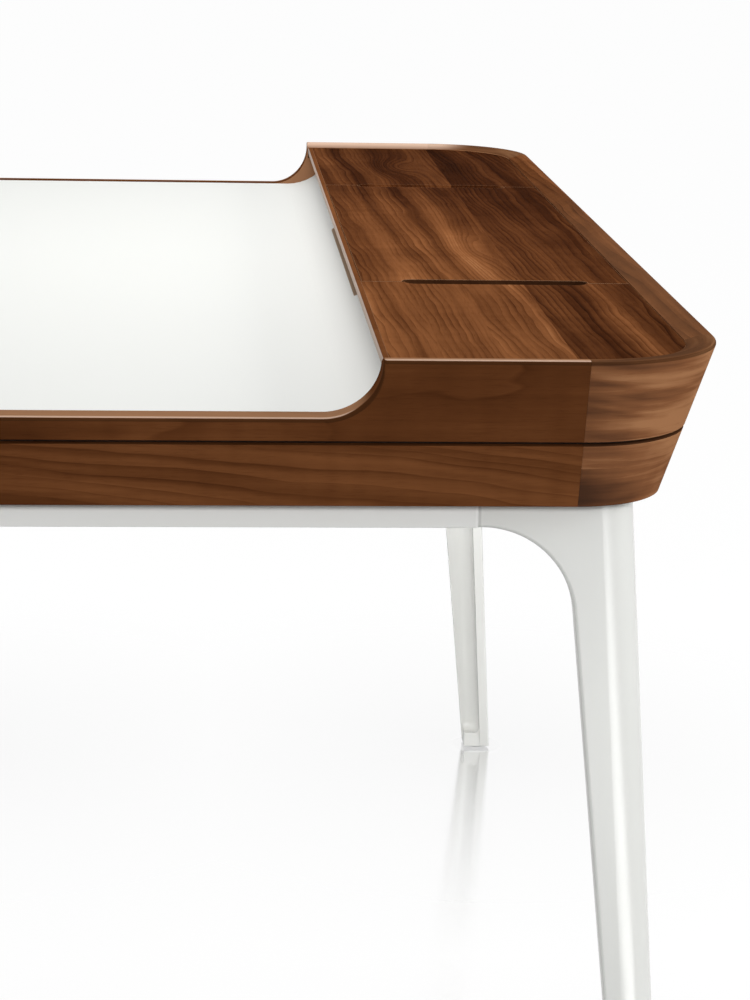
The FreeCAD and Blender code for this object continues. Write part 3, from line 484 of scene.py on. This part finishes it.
# The far shelf panel's boards, darker than the shelf's: painted shade for the light that falls off towards
# the far end.
FAR_SHELF_BOARDS = [
    (-0.2, 0.32, 0.02, 0.70, -0.03),
    (0.2535, 0.17, 0.42, 0.72, 0.03),
    (0.3415, 0.23, 0.46, 0.70, 0.02),
]
LID_BOARDS = [
    (-0.2, 0.46, 0.03, 0.705, -0.035),
    (0.2555, 0.29, 0.42, 0.72, 0.03),
    (0.3445, 0.36, 0.46, 0.70, 0.03),
]
FAR_SHELF_EYES = [(-0.50, 0.2115, 0.026, 2.6, -0.12)]
LID_EYES = [(0.12, 0.236, 0.016, 7.0, 0.28)]
SHELF_LOOK = dict(ring=0.0052, lines=0.32, figure=0.85, warp=0.036)
MATERIALS["walnut_shelf"] = walnut(
    "walnut_shelf", axes("X", "Y", "Z"), SHELF_BOARDS, edge_highlight_and_wear=0.3, **SHELF_LOOK)
MATERIALS["walnut_far_shelf_shaded"] = walnut(
    "walnut_far_shelf_shaded", axes("X", "Y", "Z"), FAR_SHELF_BOARDS, edge_highlight_and_wear=0.3, eyes=FAR_SHELF_EYES, **SHELF_LOOK)
# The lid: painted light growing along the grain, and painted shade in its hollows.
MATERIALS["walnut_lid"] = walnut(
    "walnut_lid", axes("X", "Y", "Z"), LID_BOARDS, slope=0.4, hollow=0.9, edge_highlight_and_wear=0.5, eyes=LID_EYES,
    **SHELF_LOOK)
# The nosing: a painted highlight on its front face.
MATERIALS["walnut_nosing"] = walnut(
    "walnut_nosing", axes("X", "Y", "Z"), [(-0.2, 0.56, 0.1, 0.7, 0.02)], lines=0.1, figure=0.4, front=0.9)
MATERIALS["inner_wood"] = walnut(
    "inner_wood", axes("X", "Z", "Y"), [(0.5, 0.5, 0.7, 0.1, 0.02)], lines=0.2, figure=0.6)


# Noise in the plain wood, in grains for each metre along the grain, across it and into it.
PALE_STREAK = (4.0, 150.0, 150.0)
PALE_FLECKS = (160.0, 900.0, 900.0)


def pale_wood(name, grain_of, light, dark, roughness):
    """Plain lacquered wood for the pieces inside the case, with streaks and flecks."""
    shader = new_material(name)
    grain = grain_of(shader)
    streak = shader.stretched_noise(grain, PALE_STREAK, detail=4.0, rough=0.6)
    flecks = shader.step(shader.stretched_noise(grain, PALE_FLECKS, detail=1.0), 0.6, 0.75)
    colour = shader.mix(shader.step(streak, 0.3, 0.7), light, dark)
    colour = shader.mix(shader.times(flecks, 0.35), colour, dark)
    soft = shader.soft_normal(radius=0.0008)
    height = shader.total(streak, shader.times(flecks, -0.5))
    normal = shader.bump(height, strength=0.2, distance=0.0002, normal=soft)
    return shader.finish(colour, shader.total(roughness, shader.swing(streak, 0.15)), normal)


MATERIALS["drawer_wood"] = pale_wood(
    "drawer_wood", axes("Y", "Z", "X"), (0.62, 0.43, 0.25), (0.46, 0.29, 0.15), 0.42)
MATERIALS["runner_wood"] = pale_wood(
    "runner_wood", axes("Y", "Z", "X"), (0.56, 0.38, 0.21), (0.4, 0.25, 0.13), 0.5)
MATERIALS["bottom_board"] = pale_wood(
    "bottom_board", axes("X", "Y", "Z"), (0.15, 0.085, 0.045), (0.09, 0.048, 0.025), 0.55)
MATERIALS["dark_panel"] = pale_wood(
    "dark_panel", axes("X", "Y", "Z"), (0.06, 0.028, 0.014), (0.035, 0.016, 0.008), 0.7)


# The writing surface: heights between which painted shade darkens its bent lip under the nosing, where the
# slot cuts through it, the colours of its skins, of the lip's painted shade and of its core, and the grains
# of the core's layers for each metre.
LIP_SHADE_HEIGHT = (0.7535, 0.77)
SLOT_BOTTOM = 0.7575
SLOT_TOP = 0.776
SLOT_FRONT = 0.0815
LAMINATE_LIGHT = (0.86, 0.865, 0.83)
LAMINATE_DARK = (0.82, 0.825, 0.795)
LIP_SHADE = (0.52, 0.52, 0.495)
CORE_LIGHT = (0.52, 0.37, 0.25)
CORE_DARK = (0.36, 0.24, 0.15)
CORE_LAYERS = (8.0, 700.0, 300.0)


def white_laminate():
    """Matt white laminate skins, with painted shade on the bent lip under the nosing, on a brown core that
    shows where the slot is cut.
    """
    shader = new_material("white_laminate")
    x, y, z = shader.place()
    spot = shader.point(x, y, z)
    grit = shader.noise(spot, scale=900.0, detail=2.0)
    cloud = shader.noise(spot, scale=2.2, detail=2.0)
    skin = shader.mix(shader.times(cloud, 0.6), LAMINATE_LIGHT, LAMINATE_DARK)
    # Painted shade: the bent lip darkened under the nosing.
    skin = shader.mix(shader.step(z, *LIP_SHADE_HEIGHT), skin, LIP_SHADE)
    cut = shader.math("LESS_THAN", shader.magnitude(shader.facing()[1]), 0.3)
    behind = shader.math("GREATER_THAN", y, SLOT_FRONT)
    above = shader.math("GREATER_THAN", z, SLOT_BOTTOM)
    below = shader.math("LESS_THAN", z, SLOT_TOP)
    layers = shader.stretched_noise((x, y, z), CORE_LAYERS, detail=2.0)
    core = shader.mix(layers, CORE_LIGHT, CORE_DARK)
    colour = shader.mix(shader.times(cut, behind, above, below), skin, core)
    soft = shader.soft_normal(radius=0.0006)
    normal = shader.bump(grit, strength=0.12, distance=0.0001, normal=soft)
    roughness = shader.total(0.5, shader.swing(cloud, 0.1), shader.swing(grit, 0.08))
    return shader.finish(colour, roughness, normal, {"Specular IOR Level": 0.3})


def rail_joint(shader, beside):
    """1 on a thin line across the end rails, at or beside the butt joints with the legs' arms."""
    low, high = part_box("end_rail_right")
    x, y, z = shader.place()
    middle = (low.y + high.y) / 2
    half_length = (high.y - low.y) / 2
    away = shader.minus(shader.magnitude(shader.minus(y, middle)), half_length + beside)
    line = shader.step(shader.magnitude(away), 0.0014, 0.0006)
    return shader.times(line, shader.math("GREATER_THAN", z, low.z))


WORN_WHITE = (0.7, 0.7, 0.68)
# At each butt joint of the rails a light line, a painted highlight, and a dark joint line: how far past the
# rail's end, and its colour.
JOINT_LINES = [(-0.0008, (0.97, 0.97, 0.95)), (0.0014, (0.62, 0.62, 0.6))]


def powder_coat(name, light, dark):
    """White powder coat on cast metal, with a faint orange peel and a painted highlight line at each rail
    joint.
    """
    shader = new_material(name)
    spot = shader.point(*shader.place())
    peel = shader.noise(spot, scale=420.0, detail=2.0)
    flow = shader.noise(spot, scale=9.0, detail=2.0)
    soft = shader.soft_normal(radius=0.001)
    sharp_edge = shader.edge_mask(soft)
    colour = shader.mix(flow, light, dark)
    colour = shader.mix(shader.times(sharp_edge, 0.2), colour, WORN_WHITE)
    # At each joint a painted highlight line and a dark joint line.
    for beside, line_colour in JOINT_LINES:
        colour = shader.mix(rail_joint(shader, beside), colour, line_colour)
    roughness = shader.total(0.22, shader.swing(flow, 0.06), shader.swing(peel, 0.05))
    normal = shader.bump(peel, strength=0.02, distance=0.0001, normal=soft)
    return shader.finish(colour, roughness, normal, {"Specular IOR Level": 0.3})


# Scratches in bare metal, in grains for each metre across them.
SCRATCHES = 1200.0


def metal(name, colour, roughness, along):
    """Bare metal. Its scratches have this many grains for each metre along X: few where it is brushed."""
    shader = new_material(name)
    scratch = shader.stretched_noise(shader.place(), (along, SCRATCHES, SCRATCHES), detail=2.0)
    soft = shader.soft_normal(radius=0.0004)
    normal = shader.bump(scratch, strength=0.1, distance=0.0001, normal=soft)
    tone = shader.mix(shader.times(scratch, 0.5), colour, tuple(0.7 * part for part in colour))
    return shader.finish(tone, shader.total(roughness, shader.swing(scratch, 0.2)), normal, {"Metallic": 1.0})


GLIDE_LIGHT = (0.74, 0.74, 0.72)
GLIDE_SCUFFED = (0.62, 0.62, 0.6)


def moulded_plastic():
    """Scuffed pale plastic of the floor glides."""
    shader = new_material("glide_plastic")
    spot = shader.point(*shader.place())
    grain = shader.noise(spot, scale=1500.0, detail=2.0)
    scuff = shader.noise(spot, scale=120.0, detail=3.0)
    soft = shader.soft_normal(radius=0.0004)
    colour = shader.mix(shader.step(scuff, 0.5, 0.75), GLIDE_LIGHT, GLIDE_SCUFFED)
    normal = shader.bump(grain, strength=0.1, distance=0.0001, normal=soft)
    return shader.finish(colour, shader.total(0.48, shader.swing(scuff, 0.2)), normal)


MATERIALS["white_laminate"] = white_laminate()
MATERIALS["cast_white"] = powder_coat("cast_white", (0.79, 0.795, 0.765), (0.76, 0.765, 0.735))
# Painted light: the rails' white is lighter than the legs' white, to make up for the shade under the case.
MATERIALS["rail_white_lit"] = powder_coat("rail_white_lit", (0.9, 0.905, 0.88), (0.88, 0.885, 0.86))
MATERIALS["bare_aluminium"] = metal("bare_aluminium", (0.72, 0.72, 0.73), 0.35, 30.0)
MATERIALS["screw_steel"] = metal("screw_steel", (0.58, 0.58, 0.59), 0.3, SCRATCHES)
MATERIALS["glide_plastic"] = moulded_plastic()

# Pieces that look different from the others in their slot of the record: the far shelf panel gets a darker
# copy of the shelf's walnut, painted shade; the end rails get a lighter copy of the legs' white, painted
# light to make up for the shade under the case.
OWN_MATERIAL = {
    "shelf_side_left": "walnut_far_shelf_shaded",
    "end_rail_left": "rail_white_lit",
    "end_rail_right": "rail_white_lit",
}
for part in frame["record"]["subparts"]:
    mesh = nodes[part["node"]].data
    mesh.materials.clear()
    mesh.materials.append(MATERIALS[OWN_MATERIAL.get(part["node"], part["material_slot"])])


def soft_box(name, place, target, width, height, watts):
    """Flat lamp at a place, looking at a target."""
    lamp = bpy.data.lights.new(name, "AREA")
    lamp.shape = "RECTANGLE"
    lamp.size = width
    lamp.size_y = height
    lamp.energy = watts
    holder = bpy.data.objects.new(name, lamp)
    bpy.context.scene.collection.objects.link(holder)
    direction = Vector(target) - Vector(place)
    holder.location = place
    holder.rotation_euler = direction.to_track_quat("-Z", "Y").to_euler()
    return holder


UNDER_FILL_SPREAD = math.radians(70.0)
STRIP_HEADING = math.radians(15.8)


def make_lights():
    """Boxes overhead, on both sides, far behind the camera and under the desk, and a lamp at the floor.

    The weak box under the desk lights the far leg. The lamp at the floor shows only in reflections, as the
    gleam along the near leg.
    """
    soft_box("overhead", (-0.2, 0.2, 1.75), (-0.2, 0.2, 0.75), 1.2, 1.0, 6.9)
    soft_box("left_box", (-1.5, -3.0, 2.4), (-0.2, 0.1, 0.75), 2.0, 1.5, 20.0)
    soft_box("right_box", (1.2, 3.4, 1.8), (0.65, 0.3, 0.6), 1.5, 1.5, 75.0)
    soft_box("far_fill", (7.0, -1.4, 3.0), (0.0, 0.0, 0.4), 3.0, 0.9, 238.0)
    inner = soft_box("under_fill", (0.3, 0.05, 0.42), (-0.66, 0.3, 0.52), 0.4, 0.4, 1.5)
    inner.data.spread = UNDER_FILL_SPREAD
    strip = soft_box("floor_strip", (4.1, 1.66, 0.03), (4.1, 1.66, 1.0), 6.4, 1.3, 250.0)
    strip.data.shape = "ELLIPSE"
    strip.rotation_euler = (math.pi, 0.0, STRIP_HEADING)
    strip.visible_diffuse = False


# The room's light by the height it comes from: up to the first height it is the horizon's.
HORIZON_HEIGHT = 0.25
HORIZON_LIGHT = 0.06
ZENITH_LIGHT = 0.65
ROOM_COLOUR = (0.97, 0.985, 1.0, 1.0)


def make_world():
    """White for the camera and for reflections; for everything else a room lit from above."""
    world = bpy.data.worlds.new("studio")
    bpy.context.scene.world = world
    shader = Shader(world)
    height = shader.split(shader.node("TexCoord").outputs["Generated"])[2]
    strength = shader.node("MapRange", {"Value": height, "From Min": HORIZON_HEIGHT, "To Min": HORIZON_LIGHT,
                                        "To Max": ZENITH_LIGHT}).outputs[0]
    room = shader.node("Background", {"Color": ROOM_COLOUR, "Strength": strength}).outputs[0]
    white = shader.node("Background", {"Color": WHITE, "Strength": 1.0}).outputs[0]
    shader.show(shader.blend(shader.seen(), room, white), "OutputWorld")


# The floor: its half width, how far it lies below the feet, how far from a foot it mirrors, and how that
# fades.
FLOOR_REACH = 20.0
FLOOR_DROP = 0.0004
REFLECTION_REACH = 0.75
REFLECTION_FADE = 1.5
# Right under a foot it mirrors less, as far out as this.
CONTACT_REACH = (0.026, 0.036)
CONTACT_SHARE = 0.4
# Whites of the floor, of what it mirrors, of the share that takes shadows, and of the light it throws back.
FLOOR_WHITE = 1.02
MIRROR_WHITE = 0.94
MIRROR_ROUGHNESS = 0.13
PAPER_WHITE = 0.95
PAPER_SHARE = 0.06
BOUNCE_GREY = 0.34


def grey_colour(value):
    return (value, value, value, 1.0)


def floor_material():
    """White polished floor that mirrors the feet faintly and keeps a faint shadow."""
    shader = new_material("floor")
    x, y, z = shader.place()
    nearest = None
    for low, high in [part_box(name) for name in sorted(nodes) if name.startswith("glide_")]:
        middle = (low + high) / 2
        away = shader.diagonal(shader.minus(x, middle.x), shader.minus(y, middle.y))
        nearest = away if nearest is None else shader.math("MINIMUM", nearest, away)
    closeness = shader.math("SUBTRACT", 1.0, shader.over(nearest, REFLECTION_REACH), clamp=True)
    clear = shader.step(nearest, *CONTACT_REACH)
    contact = shader.total(CONTACT_SHARE, shader.times(clear, 1.0 - CONTACT_SHARE))
    mirror_share = shader.times(shader.math("POWER", closeness, REFLECTION_FADE), contact)
    glow = shader.total(MIRROR_WHITE, shader.times(clear, FLOOR_WHITE - MIRROR_WHITE))
    white = shader.node("Emission", {"Color": WHITE, "Strength": glow}).outputs[0]
    mirror = shader.node("BsdfGlossy", {"Color": grey_colour(MIRROR_WHITE),
                                        "Roughness": MIRROR_ROUGHNESS}).outputs[0]
    paper = shader.node("BsdfDiffuse", {"Color": grey_colour(PAPER_WHITE)}).outputs[0]
    bounce = shader.node("BsdfDiffuse", {"Color": grey_colour(BOUNCE_GREY)}).outputs[0]
    shown = shader.blend(mirror_share, shader.blend(PAPER_SHARE, white, paper), mirror)
    return shader.show(shader.blend(shader.seen(), bounce, shown))


def make_floor():
    mesh = bpy.data.meshes.new("floor")
    corners = [(x * FLOOR_REACH, y * FLOOR_REACH, 0.0) for x, y in ((-1, -1), (1, -1), (1, 1), (-1, 1))]
    mesh.from_pydata(corners, [], [(0, 1, 2, 3)])
    mesh.materials.append(floor_material())
    floor = bpy.data.objects.new("floor", mesh)
    floor.location.z = -FLOOR_DROP
    bpy.context.scene.collection.objects.link(floor)


def turned_pair(first, second, angle):
    """Two directions at right angles, turned by an angle from the first towards the second."""
    return (math.cos(angle) * first + math.sin(angle) * second,
            math.cos(angle) * second - math.sin(angle) * first)


def make_camera():
    """Camera that looks along the desk from its right end, turned by yaw, pitch and roll."""
    forward = Vector((-1.0, 0.0, 0.0))
    right = Vector((0.0, 1.0, 0.0))
    up = Vector((0.0, 0.0, 1.0))
    forward, right = turned_pair(forward, right, CAMERA_YAW)
    forward, up = turned_pair(forward, up, -CAMERA_PITCH)
    right, up = turned_pair(right, up, CAMERA_ROLL)
    lens = bpy.data.cameras.new("camera")
    lens.sensor_width = SENSOR
    lens.lens = FOCAL_PIXELS / IMAGE_HEIGHT * SENSOR
    camera = bpy.data.objects.new("camera", lens)
    bpy.context.scene.collection.objects.link(camera)
    turn = Matrix((right, up, -forward)).transposed().to_4x4()
    camera.matrix_world = Matrix.Translation(CAMERA_PLACE) @ turn
    bpy.context.scene.camera = camera


make_lights()
make_world()
make_floor()
make_camera()
bpy.context.scene.view_settings.view_transform = "Standard"
